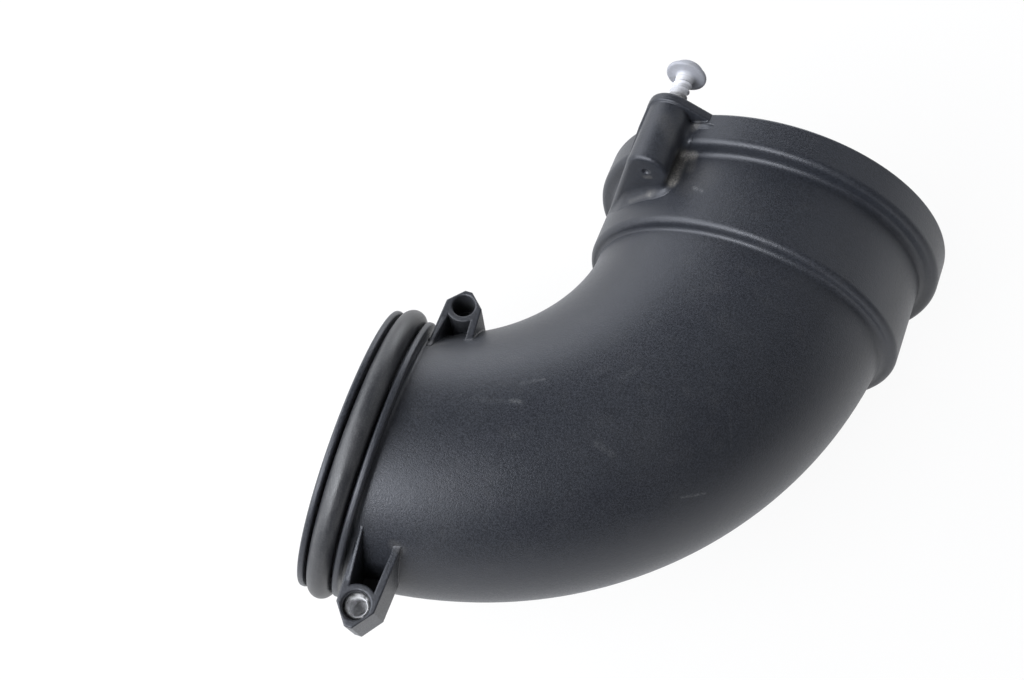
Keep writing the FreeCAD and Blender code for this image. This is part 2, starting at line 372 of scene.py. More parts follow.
def rounded_loop(
    corners: Sequence[Point], spacing: float, arc_steps: int = 6, support: float = 0.35
) -> Array:
    """Return a closed profile with rounded corners and even points on long runs.

    Args:
        corners: Length, radius and rounding of each corner in order.
        spacing: Longest distance between points on a straight run.
        arc_steps: Points on each rounded corner, less one.
        support: Distance from a rounded corner to the next point of a long run.

    Returns:
        Length and radius of each point.
    """
    pts = np.array([c[:2] for c in corners], float)
    stops: list[Array] = []
    for i, (_, _, r) in enumerate(corners):
        p = pts[i]
        a, b = pts[i - 1] - p, pts[(i + 1) % len(pts)] - p
        a, b = a / np.linalg.norm(a), b / np.linalg.norm(b)
        half = 0.5 * math.acos(float(np.clip(a @ b, -1.0, 1.0)))
        middle = (a + b) / np.linalg.norm(a + b)
        heart = p + middle * r / math.sin(half)
        reach = r / math.tan(half)
        u, v = p + a * reach - heart, p + b * reach - heart
        sweep = math.acos(float(np.clip(u @ v / (r * r), -1.0, 1.0)))
        for k in range(arc_steps + 1):
            f = k / arc_steps
            spoke = u * math.sin((1 - f) * sweep) + v * math.sin(f * sweep)
            stops.append(heart + spoke / math.sin(sweep))
    loop: list[Array] = []
    for p, q in zip(stops, stops[1:] + stops[:1]):
        run = float(np.linalg.norm(q - p))
        loop.append(p)
        if run > 4 * support:
            marks = [support / run, 1.0 - support / run]
            count = int(run // spacing)
            marks += [k / (count + 1) for k in range(1, count + 1)]
            loop += [p + (q - p) * m for m in sorted(marks)]
    return np.array(loop)


@dataclass
class DuctBody:
    """Moulded bend with its spigot and stepped mouth, in millimetres."""

    wall: float = 2.6
    spigot_r: float = 38.0
    step_r: float = 47.7
    lip_r: float = 43.5
    lip_t: float = 1.9
    groove_w: float = 8.4
    groove_r: float = 38.4
    flange_r: float = 43.3
    flange_t: float = 2.0
    flange_round: float = 0.7
    flange_cove: float = 1.2
    collar_r: float = 56.8
    collar_h: float = 10.9
    cuff_r: float = 51.6
    cuff_h: float = 37.3
    cuff_tilt: float = 2.5
    step_round: float = 2.0
    step_cove: float = 1.8
    rim_round: float = 0.8
    rim_inner_round: float = 0.5
    bore_round: float = 0.4
    groove_round: float = 0.4
    shoulder_round: float = 1.0
    throat_round: float = 0.8
    collar_wall: float = 3.2
    cuff_wall: float = 3.0
    floor_t: float = 3.0
    around: int = 288
    spacing: float = 2.5
    square_until: float = 12.3
    tilted_from: float = 34.0
    tilt_power: float = 1.2
    tilt_fade: float = 22.0
    mouth_lead: float = 4.0

    @property
    def step_s(self) -> float:
        """Return the length at which the cuff ends."""
        return PATH.length - self.cuff_h

    def radius(self, s: Array) -> Array:
        """Return the outer radius of the bend at length s."""
        return self.spigot_r + (self.step_r - self.spigot_r) * s / self.step_s

    def corners(self) -> list[Point]:
        """Return length, radius and rounding of the profile, outside first and then inside."""
        end = PATH.length
        flange = self.lip_t + self.groove_w
        neck = flange + self.flange_t
        shoulder = end - self.collar_h + self.floor_t
        floor = end - self.cuff_h + self.floor_t
        edge = self.flange_round
        return [
            (0.0, self.spigot_r - self.wall, self.bore_round),
            (0.0, self.lip_r, edge),
            (self.lip_t, self.lip_r, edge),
            (self.lip_t, self.groove_r, self.groove_round),
            (flange, self.groove_r, self.groove_round),
            (flange, self.flange_r, edge),
            (neck, self.flange_r, edge),
            (neck, self.radius(neck), self.flange_cove),
            (self.step_s, self.step_r, self.step_cove),
            (self.step_s, self.cuff_r, self.step_round),
            (end - self.collar_h, self.cuff_r, self.step_cove),
            (end - self.collar_h, self.collar_r, self.step_round),
            (end, self.collar_r, self.rim_round),
            (end, self.collar_r - self.collar_wall, self.rim_inner_round),
            (shoulder, self.collar_r - self.collar_wall, self.step_cove),
            (shoulder, self.cuff_r - self.cuff_wall, self.shoulder_round),
            (floor, self.cuff_r - self.cuff_wall, self.step_cove),
            (floor, self.radius(floor) - self.wall, self.throat_round),
        ]

    def mouth_share(self, s: float, r: float) -> float:
        """Return how far a profile point belongs to the mouth's straight axis, from 0 to 1."""
        if s < self.step_s - self.mouth_lead:
            return 0.0
        inside = s > self.step_s + 0.5 * (self.step_round + self.floor_t)
        low = self.step_r - (self.wall if inside else 0.0)
        high = self.cuff_r - (self.cuff_wall if inside else 0.0)
        return float(smooth((r - low) / (high - low)))

    def bend_ring(self, s: float, r: float) -> Array:
        """Return a ring square to the bend, turning to the cuff's edge where it nears it."""
        own = PATH.turn(s)
        share = (s - self.square_until) / (self.tilted_from - self.square_until)
        lean = max(share, 0.0) ** self.tilt_power
        turn = own if share >= 1.0 else PATH.turn(self.tilted_from) * lean
        near = float(smooth(1.0 - (self.step_s - s) / self.tilt_fade))
        turn += near * (PATH.angle - math.radians(self.cuff_tilt) - PATH.turn(self.step_s))
        centre = PATH.at(s)
        if s <= self.square_until:
            turn, own, centre = 0.0, 0.0, np.array([s, 0.0, 0.0])
        right = np.array([-math.sin(turn), math.cos(turn), 0.0]) / math.cos(turn - own)
        up = np.array([0.0, 0.0, 1.0])
        phi = angles(self.around)[:, None]
        return centre + r * (np.cos(phi) * right + np.sin(phi) * up)

    def mouth_ring(self, s: float, r: float) -> Array:
        """Return a ring about the mouth's straight axis, tipped at the cuff's edge."""
        fade = float(smooth(1.0 - (s - self.step_s) / self.tilt_fade))
        phi = angles(self.around)
        e = r * np.cos(phi)
        height = s - PATH.length + e * math.tan(math.radians(self.cuff_tilt)) * fade
        return PATH.from_mouth(np.stack([e, r * np.sin(phi), height], axis=1))

    def ring(self, s: float, r: float) -> Array:
        """Return the points of the skin's ring of radius r at length s, one per row."""
        share = self.mouth_share(s, r)
        return (1.0 - share) * self.bend_ring(s, r) + share * self.mouth_ring(s, r)

    def build(self) -> Piece:
        """Build the closed skin of the bend, spigot and mouth."""
        loop = rounded_loop(self.corners(), self.spacing)
        rings = np.stack([self.ring(s, r) for s, r in loop])
        faces = stack(rings, True)
        return make_piece("duct_skin", rings.reshape(-1, 3), faces, Slot.PLASTIC, "duct_body")

    def mouth_field(self, r: Array, t: Array) -> Array:
        """Return the distance to the collar and cuff from a radius and a height over the rim."""
        collar = common_round(r - self.collar_r, -self.collar_h - t, self.step_round)
        collar = common_round(collar, t, self.rim_round)
        return union_round(collar, np.maximum(r - self.cuff_r, t), self.step_cove)

    def spigot_field(self, p: Array) -> Array:
        """Return the distance to the neck and the second flange."""
        s, out = PATH.nearest(p)
        neck = np.hypot(out, p[:, 2]) - self.radius(s)
        low = self.lip_t + self.groove_w
        rim = np.hypot(p[:, 1], p[:, 2]) - self.flange_r
        flange = common_round(rim, slab(p[:, 0], low, low + self.flange_t), self.flange_round)
        return union_round(neck, flange, self.flange_cove)


def grown(
    base: Array, both: Array, extra: Array, depth: float = 0.8, lift: float = 0.02
) -> Array:
    """Return only what a filleted feature adds to a base, with a root, less an extra cut."""
    return np.maximum.reduce([both, -(base + depth), lift - (base - both), -extra])


@dataclass
class ScrewBoss:
    """Flat-sided boss along the mouth with a lug at the rim, in millimetres."""

    body: DuctBody
    e: float = 44.8
    z: float = 41.5
    r: float = 6.5
    height: float = 24.3
    edge: float = 1.4
    lug_r: float = 7.3
    lug_t: float = 3.0
    lug_foot: float = 54.4
    lug_edge: float = 0.6
    lug_fillet: float = 0.35
    lug_root: tuple[float, float] = (10.0, 5.0)
    lug_steps: int = 16
    web_edge: float = 0.4
    web_end_edge: float = 0.3
    fillet: float = 3.4
    flank_fillet: float = 0.3
    fillet_fade: float = 1.5
    hole_r: float = 3.06
    hole_depth: float = 15.5
    hole_chamfer: float = 0.5
    pit_r: float = 1.2
    pit_depth: float = 0.9
    step: float = 0.36

    def lug_outline(self) -> list[tuple[float, float]]:
        """Return the corners of the lug, its round end as a fan of points."""
        turn = math.radians(self.lug_foot)
        foot = np.array([math.cos(turn), math.sin(turn)]) * self.body.collar_r
        heart = np.array([self.e, self.z])
        way = foot - heart
        start = math.atan2(way[1], way[0]) - math.acos(self.lug_r / float(np.linalg.norm(way)))
        fan = [start * (1.0 - k / self.lug_steps) for k in range(self.lug_steps + 1)]
        arc = [(self.e + self.lug_r * math.cos(a), self.z + self.lug_r * math.sin(a)) for a in fan]
        return [tuple(foot)] + arc + [(self.e + self.lug_r, self.lug_root[1]), self.lug_root]

    def shape(self, p: Array) -> Array:
        """Return the distance field of the boss and lug in the mouth's own axes."""
        e, z, t = p.T
        base = self.body.mouth_field(np.hypot(e, z), t)
        plan = np.hypot(e - self.e, np.maximum(z - self.z, 0.0)) - self.r
        boss = common_round(plan, np.maximum(-self.height - t, t), self.edge)
        plate = polygon(e, z, self.lug_outline())
        lug = common_round(plate, slab(t, -self.lug_t, 0.0), self.lug_edge)
        web = common_round(slab(e, self.e, self.e + self.lug_r), z - self.z, self.web_edge)
        web = common_round(web, slab(t, -self.body.collar_h, 0.0), self.web_end_edge)
        block = union_round(np.minimum(boss, web), lug, self.lug_fillet)
        flank = smooth((e - self.e - 0.5 * self.r) / (0.5 * self.r))
        high = smooth((t + self.lug_t + self.fillet_fade) / self.fillet_fade)
        share = (1.0 - flank) * (1.0 - high)
        cove = self.flank_fillet + (self.fillet - self.flank_fillet) * share
        both = np.maximum(union_round(base, block, cove), t)
        axis = np.hypot(e - self.e, z - self.z)
        hole = np.maximum(axis - self.hole_r, -self.hole_depth - t)
        mouth = np.maximum(axis - self.hole_r - self.hole_chamfer - t, t - 1.0)
        pit = np.hypot(axis, (t + self.height) * self.pit_r / self.pit_depth) - self.pit_r
        return grown(base, both, np.minimum.reduce([hole, mouth, pit]))

    def build(self) -> Piece:
        """Build the boss with its lug, fillets, screw hole and pit."""
        low = (26.0, 2.0, -self.height - 6.0)
        high = (self.e + self.lug_r + 5.0, self.z + self.lug_r + 4.0, 1.0)
        points, quads = skin_of(self.shape, low, high, self.step)
        return make_piece("boss_skin", PATH.from_mouth(points), quads, Slot.PLASTIC)


@dataclass
class Ear:
    """Leaning screw ear beside the spigot: faceted end, two legs and a pocket, in millimetres.

    Local axes stand at the front of the hole: u along the duct, v outwards and w out of the hole.
    """

    body: DuctBody
    side: Side
    hole: str
    sunk: float
    hole_r: float
    tip: float
    depth: float = 16.0
    floor: float = 4.0
    web: float = 1.4
    half: float = 5.5
    shoulder: float = 0.5
    tip_half: float = 1.1
    ring_wall: float = 1.9
    leg_t: float = 2.1
    leg_l: float = 20.0
    leg_rise: float = 4.2
    rib_t: float = 1.1
    splay: float = 3.0
    edge: float = 0.4
    chamfer: float = 0.4
    rib_fillet: float = 0.3
    fillet: float = 0.55
    step: float = 0.26

    @property
    def matrix(self) -> Array:
        """Return the matrix whose columns are the local axes."""
        w = np.array(mount(self.hole)["axis"], float)
        return np.stack([(w[2], 0.0, -w[0]), (0.0, self.side.value, 0.0), w], axis=1)

    @property
    def origin(self) -> Array:
        """Return the front centre of the hole, over the mount and what it is sunk by."""
        hole = mount(self.hole)
        lift = 0.5 * hole["dims"]["length_mm"] + self.sunk
        return np.array(hole["pos_m"]) / MM + np.array(hole["axis"]) * lift

    def out(self, p: Array) -> Array:
        """Return local points in the part's own frame."""
        return self.origin + p @ self.matrix.T

    @property
    def spread(self) -> float:
        """Return how far each leg leans out over its length."""
        return self.leg_l * math.tan(math.radians(self.splay))

    def outline(self) -> list[tuple[float, float]]:
        """Return the corners of the ear about its hole."""
        foot = self.half + self.spread
        side = [(foot, -self.leg_l), (self.half, self.shoulder), (self.tip_half, self.tip)]
        return [(-u, v) for u, v in side] + side[::-1]

    def pocket(self) -> list[tuple[float, float]]:
        """Return the corners of the pocket between the legs, about the hole."""
        inner = self.half - self.leg_t
        foot = inner + self.spread
        low = -self.leg_l - 3.0
        return [(-foot, low), (-inner, -self.ring_wall), (inner, -self.ring_wall), (foot, low)]

    def shape(self, p: Array) -> Array:
        """Return the distance field of the ear and its fillet on the neck, in local axes."""
        u, v, w = p.T
        base = self.body.spigot_field(self.out(p))
        block = common_round(polygon(u, v, self.outline()), slab(w, -self.depth, 0.0), self.edge)
        ring = self.hole_r + self.ring_wall
        rise = [(-ring, 0.0), (-self.leg_l, self.leg_rise), (-self.leg_l, -self.leg_rise)]
        lean = self.spread * v / self.leg_l
        crest = self.leg_t - self.half
        side = slab(u - lean, crest - self.rib_t, crest)
        rib = common_round(polygon(v, w, rise), side, 0.5 * self.edge)
        block = union_round(block, rib, self.rib_fillet)
        axis = np.hypot(u, v)
        cut = np.maximum(polygon(u, v, self.pocket()), ring - axis)
        cut = common_round(cut, self.web - self.depth - w, self.edge)
        block = common_round(block, -cut, self.edge)
        both = union_round(base, block, self.fillet)
        bore = axis - self.hole_r - np.maximum(w + self.chamfer, 0.0)
        return grown(base, both, np.maximum(bore, self.floor - self.depth - w))

    def build(self) -> Piece:
        """Build the ear with its pocket, blind hole and fillets."""
        wide = self.half + self.spread + 4.0
        low = (-wide, -self.leg_l - 1.0, -self.depth - 5.0)
        high = (wide, self.tip + 1.0, self.leg_rise + 3.0)
        points, quads = skin_of(self.shape, low, high, self.step)
        if self.side is Side.OUTER:
            quads = quads[:, ::-1]
        name = "ear_%s_skin" % self.side.name.lower()
        return make_piece(name, self.out(points), quads, Slot.PLASTIC)


@dataclass
class SpigotSeal:
    """Fat ring of round section in the spigot's groove."""

    around: int = 288
    section: int = 48

    def build(self) -> Piece:
        """Build the ring from the box of its CAD node."""
        low, high = (np.array(c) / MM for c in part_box("spigot_seal"))
        r = 0.5 * (high[0] - low[0])
        ring_r = 0.5 * (high[2] - low[2]) - r
        middle = 0.5 * (high[0] + low[0])
        phi = angles(self.around)[:, None]
        theta = angles(self.section)[None, :]
        reach = ring_r + r * np.cos(theta)
        x = np.broadcast_to(middle + r * np.sin(theta), (self.around, self.section))
        rings = np.stack([x, reach * np.cos(phi), reach * np.sin(phi)], axis=-1)
        faces = stack(rings, True)
        return make_piece("seal_ring", rings.reshape(-1, 3), faces, Slot.RUBBER, "spigot_seal")


@dataclass
class MouthScrew:
    """Washer-head screw with a coarse thread, part way out of the boss, in millimetres."""

    boss: ScrewBoss
    thread_r: float = 3.0
    core_r: float = 2.4
    pitch: float = 2.3
    ridge: float = 0.24
    ridge_flat: float = 1.25
    bare: float = 1.2
    run_in: float = 1.5
    stand: float = 12.0
    depth: float = 13.0
    point: float = 2.0
    head_r: float = 6.35
    head_t: float = 1.4
    dome_r: float = 5.0
    dome_h: float = 2.4
    crown_r: float = 2.9
    socket_r: float = 2.3
    socket_lobe: float = 0.28
    socket_depth: float = 1.9
    around: int = 72
    fine: float = 0.11

    @property
    def seat(self) -> Point:
        """Return the place where the screw enters the boss."""
        return tuple(PATH.from_mouth(np.array([self.boss.e, self.boss.z, 0.0])))

    def profile(self) -> Array:
        """Return height, radius, thread share and lobe share down the screw's outside."""
        top = self.stand + self.head_t
        crown = top + self.dome_h
        bottom = crown - self.socket_depth
        rows = [
            (bottom, AXIS_R, 0, 0),
            (bottom, self.socket_r - 0.2, 0, 1),
            (bottom + 0.15, self.socket_r, 0, 1),
            (crown - 0.25, self.socket_r, 0, 1),
            (crown - 0.02, self.socket_r + 0.25, 0, 0.6),
            (crown, self.socket_r + 0.6, 0, 0),
        ]
        for k in range(9):
            a = math.radians(90 - 10 * k)
            r = self.crown_r + (self.dome_r - self.crown_r) * math.cos(a)
            rows.append((top + 0.3 + (self.dome_h - 0.3) * math.sin(a), r, 0, 0))
        seat, washer = self.stand, self.head_r
        plain = [
            (top + 0.12, self.dome_r + 0.12),
            (top, self.dome_r + 0.4),
            (top - 0.05, washer - 0.45),
            (top - 0.2, washer - 0.12),
            (top - 0.5, washer),
            (seat + 0.55, washer),
            (seat + 0.2, washer - 0.12),
            (seat + 0.02, washer - 0.45),
            (seat, washer - 1.0),
            (seat - 0.05, self.thread_r + 0.5),
            (seat - 0.35, self.thread_r + 0.02),
            (seat - 0.8, self.thread_r - 0.2),
        ]
        rows += [(z, r, 0, 0) for z, r in plain]
        z = start = seat - self.bare
        while z > -self.depth + self.point:
            fade = min((start - z) / self.run_in, 1.0)
            rows.append((z, self.core_r + (1.0 - fade) * 0.3, fade, 0))
            z -= self.fine
        for k in range(8):
            f = k / 7
            r = self.core_r * (1.0 - 0.6 * f)
            rows.append((-self.depth + self.point * (1.0 - f), r, 1.0 - f, 0))
        rows.append((-self.depth, AXIS_R, 0, 0))
        return np.array(rows, float)

    def build(self) -> Piece:
        """Build the screw with its helical ridge and lobed socket."""
        rows = self.profile()
        phi = angles(self.around)
        height, base, share, lobe = (rows[:, k][:, None] for k in range(4))
        crest = thread(height, phi, self.pitch, self.ridge, self.ridge_flat)
        r = base + share * crest * (self.thread_r - self.core_r)
        r = r + lobe * self.socket_lobe * np.cos(6.0 * phi)[None, :]
        local = turned(r, phi, height) + (self.boss.e, self.boss.z, 0.0)
        faces = [tuple(reversed(f)) for f in stack(local, False)]
        first = range(self.around)
        last = len(rows) * self.around - 1
        faces += [tuple(first), tuple(last - k for k in first)]
        points = PATH.from_mouth(local.reshape(-1, 3))
        return make_piece("screw_zinc", points, faces, Slot.ZINC, "mouth_screw")


@dataclass
class EarInsert:
    """Threaded sleeve sunk in the outer ear, in millimetres."""

    ear: Ear
    sink: float = 2.4
    foot_gap: float = 0.3
    gap: float = 0.04
    core_r: float = 2.55
    root_r: float = 3.05
    pitch: float = 1.0
    ridge: float = 0.45
    ridge_flat: float = 1.15
    chamfer: float = 0.5
    end_t: float = 0.5
    around: int = 96
    fine: float = 0.08

    @property
    def end(self) -> Point:
        """Return the centre of the end that shows."""
        return tuple(self.ear.out(np.array([0.0, 0.0, -self.sink])))

    def build(self) -> Piece:
        """Build the sleeve over the hole's floor, with the thread inside."""
        low, high = self.ear.floor + self.foot_gap - self.ear.depth, -self.sink
        outer = self.ear.hole_r - self.gap
        c = self.chamfer
        rows = [(high, self.root_r + 0.1, 0), (high, outer - c, 0), (high - c, outer, 0)]
        rows += [(low + c, outer, 0), (low, outer - c, 0), (low, AXIS_R, 0)]
        low += self.end_t
        rows += [(low, AXIS_R, 0), (low, self.core_r, 0)]
        steps = int((high - low) / self.fine)
        for k in range(1, steps):
            z = low + (high - low) * k / steps
            share = float(np.clip(min(z - low, high - z) / c, 0.0, 1.0))
            rows.append((z, self.root_r, share))
        table = np.array(rows, float)
        phi = angles(self.around)
        height, base, share = (table[:, k][:, None] for k in range(3))
        crest = thread(height, phi, self.pitch, self.ridge, self.ridge_flat)
        rings = turned(base - share * crest * (self.root_r - self.core_r), phi, height)
        points = self.ear.out(rings.reshape(-1, 3))
        return make_piece("insert_sleeve", points, stack(rings, True), Slot.STEEL, "ear_insert")


class Wire:
    """A shader value that can be used in Python arithmetic."""

    def __init__(self, graph: "Graph", socket: bpy.types.NodeSocket) -> None:
        """Keep the graph and the socket that gives the value."""
        self.graph = graph
        self.socket = socket

    def _math(self, operation: str, *values: Any) -> "Wire":
        """Return a Math node's result."""
        return self.graph.node("Math", {"operation": operation}, dict(enumerate(values)))

    def __add__(self, other: Any) -> "Wire":
        """Return the sum."""
        return self._math("ADD", self, other)

    __radd__ = __add__

    def __sub__(self, other: Any) -> "Wire":
        """Return the difference."""
        return self._math("SUBTRACT", self, other)

    def __rsub__(self, other: Any) -> "Wire":
        """Return the reflected difference."""
        return self._math("SUBTRACT", other, self)

    def __mul__(self, other: Any) -> "Wire":
        """Return the product."""
        return self._math("MULTIPLY", self, other)

    __rmul__ = __mul__

    def __truediv__(self, other: Any) -> "Wire":
        """Return the quotient."""
        return self._math("DIVIDE", self, other)

    def __rtruediv__(self, other: Any) -> "Wire":
        """Return the reflected quotient."""
        return self._math("DIVIDE", other, self)

    def clamp(self) -> "Wire":
        """Return the value held between 0 and 1."""
        return self.graph.node("Clamp", {}, {"Value": self})

    def ramp(self, low: float, high: float) -> "Wire":
        """Return 0 below low and 1 above high, eased between them."""
        inputs = {"Value": self, "From Min": low, "From Max": high}
        return self.graph.node("MapRange", {"interpolation_type": "SMOOTHSTEP"}, inputs)


class Graph:
    """Node tree of one material or of the world."""

    def __init__(self, owner: Union[bpy.types.Material, bpy.types.World], kind: str) -> None:
        """Empty the owner's tree and add its output, of the given kind."""
        owner.use_nodes = True
        self.owner = owner
        self.tree = owner.node_tree
        self.tree.nodes.clear()
        self.output = self.tree.nodes.new("ShaderNode" + kind)
        self.points: Optional[Wire] = None

    @classmethod
    def material(cls, name: str) -> "Graph":
        """Return the graph of a new material."""
        return cls(bpy.data.materials.new(name), "OutputMaterial")

    def node(
        self, kind: str, settings: dict[str, Any], inputs: dict[Any, Any], out: Union[int, str] = 0
    ) -> Wire:
        """Add a node and return one of its results.

        Args:
            kind: Node type, without the prefix that all shader nodes have.
            settings: Properties of the node, set before its sockets.
            inputs: Socket name or number, and its value or wire.
            out: Result to return, by name or number.

        Returns:
            The chosen result.
        """
        made = self.tree.nodes.new("ShaderNode" + kind)
        for key, value in settings.items():
            setattr(made, key, value)
        for key, value in inputs.items():
            if isinstance(value, Wire):
                self.tree.links.new(value.socket, made.inputs[key])
            else:
                made.inputs[key].default_value = value
        return Wire(self, made.outputs[out])

    def place(self) -> Wire:
        """Return the point on the object in metres."""
        if self.points is None:
            self.points = self.node("TexCoord", {}, {}, "Object")
        return self.points

    def noise(
        self, scale: float, detail: float, rough: float = 0.55, at: Optional[Wire] = None
    ) -> Wire:
        """Return a noise value about 0.5, with scale cells per metre and detail octaves."""
        inputs = {"Vector": at or self.place(), "Scale": scale}
        return self.node("TexNoise", {}, inputs | {"Detail": detail, "Roughness": rough})

    def stretched(self, scale: Point) -> Wire:
        """Return the object's points scaled along each axis."""
        return self.node("Mapping", {}, {"Vector": self.place(), "Scale": scale})

    def away(self, start: Point) -> Wire:
        """Return the way from a point, given in millimetres, in metres."""
        return self.vector("SUBTRACT", self.place(), tuple(v * MM for v in start))

    def height(self, start: Point, axis: Point) -> Wire:
        """Return the height over a point along an axis, in millimetres."""
        return self.vector("DOT_PRODUCT", self.away(start), axis, out="Value") / MM

    def mix(self, share: Any, low: Any, high: Any) -> Wire:
        """Return a colour between low and high."""
        return self.node("Mix", {"data_type": "RGBA"}, {0: share, 6: low, 7: high}, 2)

    def vector(
        self, operation: str, *values: Any, scale: Any = None, out: Union[int, str] = 0
    ) -> Wire:
        """Return a Vector Math node's result.

        Args:
            operation: What the node works out.
            values: Its vectors, as wires or numbers.
            scale: Factor of a SCALE operation.
            out: Result to return, by name or number.

        Returns:
            The chosen result.
        """
        inputs: dict[Any, Any] = dict(enumerate(values))
        if scale is not None:
            inputs["Scale"] = scale
        return self.node("VectorMath", {"operation": operation}, inputs, out)

    def bump(self, height: Wire, distance: float, strength: float) -> Wire:
        """Return a normal from a height."""
        inputs = {"Height": height, "Distance": distance, "Strength": strength}
        return self.node("Bump", {}, inputs)

    def finish(self, shade: Wire, rough: Wire, normal: Wire, more: dict) -> bpy.types.Material:
        """Close the graph with a Principled shader and return the material."""
        inputs = {"Base Color": shade, "Roughness": rough, "Normal": normal}
        return self.close(self.node("BsdfPrincipled", {}, inputs | more))

    def close(self, shader: Wire) -> Union[bpy.types.Material, bpy.types.World]:
        """Link the last shader to the output and return the owner of the tree."""
        self.tree.links.new(shader.socket, self.output.inputs["Surface"])
        return self.owner


def colour(r: float, g: float, b: float) -> Colour:
    """Return an opaque colour."""
    return (r, g, b, 1.0)


@dataclass(frozen=True)
class Mark:
    """A scuff, a patch of dust or a patch of painted light on the surface, in millimetres."""

    start: Point
    end: Point
    reach: float
    strength: float
    core: float = 0.15

    def share(self, g: Graph) -> Wire:
        """Return how strongly the mark shows in a finish's graph, 0 away from the mark."""
        line = np.subtract(self.end, self.start)
        length = float(np.linalg.norm(line))
        way = tuple(line / length)
        away = g.away(self.start)
        run = g.vector("DOT_PRODUCT", away, way, out="Value") / (length * MM)
        foot = g.vector("SCALE", tuple(line * MM), scale=run.clamp())
        distance = g.vector("LENGTH", g.vector("SUBTRACT", away, foot), out="Value")
        edge = 1.0 - (distance / (self.reach * MM)).ramp(self.core, 1.0)
        return edge * self.strength


@dataclass(frozen=True)
class MouldedPlastic:
    """Fine-textured charcoal plastic with dust in its corners, painted light in the cove beside the
    boss, a lightened inside to the inner ear's hole, and light scuffs.
    """

    base: Colour = colour(0.0140, 0.0156, 0.0202)
    glint: Colour = colour(0.935, 0.945, 1.0)
    sheen: float = 0.06
    sheen_rough: float = 0.4
    sheen_tint: Colour = colour(0.9, 0.93, 1.0)
    ior: float = 1.5
    worn: Colour = colour(0.20, 0.205, 0.21)
    dusty: Colour = colour(0.175, 0.166, 0.152)
    roughness: float = 0.42
    grain: float = 2200.0
    grain_depth: float = 0.00008
    scuffs: tuple[Mark, ...] = (
        Mark((32.2, 14.2, 39.4), (45.2, 17.3, 40.9), 1.3, 0.08),
        Mark((42.2, 17.0, 40.5), (44.6, 17.4, 40.8), 1.0, 0.32),
        Mark((43.4, 23.0, 39.6), (48.8, 25.9, 40.1), 0.9, 0.20),
        Mark((61.3, 31.6, 41.9), (64.5, 34.2, 42.3), 2.0, 0.07),
        Mark((69.2, 32.3, 43.2), (72.6, 36.6, 43.6), 1.6, 0.08),
        Mark((67.9, 12.7, 41.6), (73.0, 11.4, 40.6), 1.5, 0.17),
        Mark((45.9, 7.4, 41.1), (46.9, 7.5, 41.1), 1.4, 0.12),
        Mark((95.5, 8.8, 31.4), (101.7, 12.6, 29.9), 0.7, 0.30),
        Mark((100.5, 34.3, 41.2), (104.4, 25.5, 36.2), 0.7, 0.07),
        Mark((73.4, 97.2, 42.3), (74.0, 96.9, 42.7), 1.3, 0.35),
        Mark((75.2, 96.3, 43.6), (75.6, 96.1, 43.8), 1.0, 0.35),
    )
    dust: tuple[Mark, ...] = (
        Mark((74.5, 101.2, 42.9), (72.0, 99.0, 41.5), 7.5, 0.11),
        # The six marks from here, down the boss's right flank, are partly dust and partly painted
        # light: they lighten the shaded cove between the boss and the collar and draw the fillet's
        # lit edge.
        Mark((70.6, 109.4, 39.9), (68.8, 108.8, 38.6), 2.1, 0.55),
        Mark((68.6, 117.0, 43.9), (67.0, 110.5, 38.0), 2.2, 0.45),
        Mark((67.2, 111.0, 38.0), (67.0, 100.0, 37.0), 3.0, 0.75),
        Mark((67.0, 100.0, 37.0), (62.0, 96.4, 32.0), 1.9, 0.36),
        Mark((62.0, 96.4, 32.0), (57.0, 96.3, 24.0), 1.2, 0.20),
        Mark((70.6, 109.0, 39.6), (70.8, 104.5, 39.8), 2.4, 0.22),
        Mark((59.9, 97.6, 39.4), (58.7, 97.5, 38.4), 1.3, 0.30),
        Mark((62.6, 108.0, 47.6), (58.5, 113.0, 48.2), 4.0, 0.12),
        Mark((13.4, 29.6, 27.0), (19.5, 31.2, 24.6), 2.2, 0.26),
        Mark((19.5, 31.2, 24.6), (26.5, 31.5, 23.4), 1.8, 0.20),
        Mark((24.4, -28.0, 25.6), (26.4, -29.0, 24.6), 2.4, 0.16),
        Mark((20.2, 45.4, 24.5), (19.8, 36.0, 24.5), 6.5, 0.07),
        # This mark lightens the wall and floor deep inside the inner ear's blind hole.
        Mark((20.7, 45.4, 18.5), (21.6, 45.4, 12.5), 4.8, 0.40),
        Mark((20.2, -46.4, 24.5), (21.5, -46.4, 16.0), 9.0, 0.07),
    )

    def make(self) -> bpy.types.Material:
        """Return the material."""
        g = Graph.material("moulded_plastic")
        cloud = g.noise(26.0, 4.0)
        patch = g.noise(170.0, 3.0)
        grain = g.noise(self.grain, 2.0, 0.65)
        speck = g.noise(1050.0, 2.0, 0.7).ramp(0.69, 0.78)
        tone = g.mix(grain.ramp(0.35, 0.65), self.tinted(0.7), self.tinted(1.32))
        film = (cloud.ramp(0.4, 0.8) * 0.03 + patch.ramp(0.5, 0.8) * 0.025 + speck * 0.10).clamp()
        flakes = g.noise(1900.0, 4.0, 0.75)
        scuff = (sum(m.share(g) for m in self.scuffs) * (0.1 + flakes.ramp(0.4, 0.72))).clamp()
        cover = 0.35 + flakes.ramp(0.35, 0.7) * 0.9
        # The dust share also carries the painted light of the marks down the boss's flank and the
        # lightening inside the inner ear's hole.
        dust = (sum(m.share(g) for m in self.dust) * cover + film).clamp()
        shade = g.mix(scuff, g.mix(dust, tone, self.dusty), self.worn)
        rough = self.roughness + (cloud - 0.5) * 0.12 + (grain - 0.5) * 0.4 + dust * 0.25
        normal = g.bump(grain + g.noise(520.0, 2.0) * 0.5, self.grain_depth, 0.85)
        more = {"IOR": self.ior, "Specular Tint": self.glint, "Sheen Weight": self.sheen}
        more |= {"Sheen Roughness": self.sheen_rough, "Sheen Tint": self.sheen_tint}
        return g.finish(shade, rough, normal, more)

    def tinted(self, share: float) -> Colour:
        """Return the base colour times a share."""
        return colour(*(v * share for v in self.base[:3]))


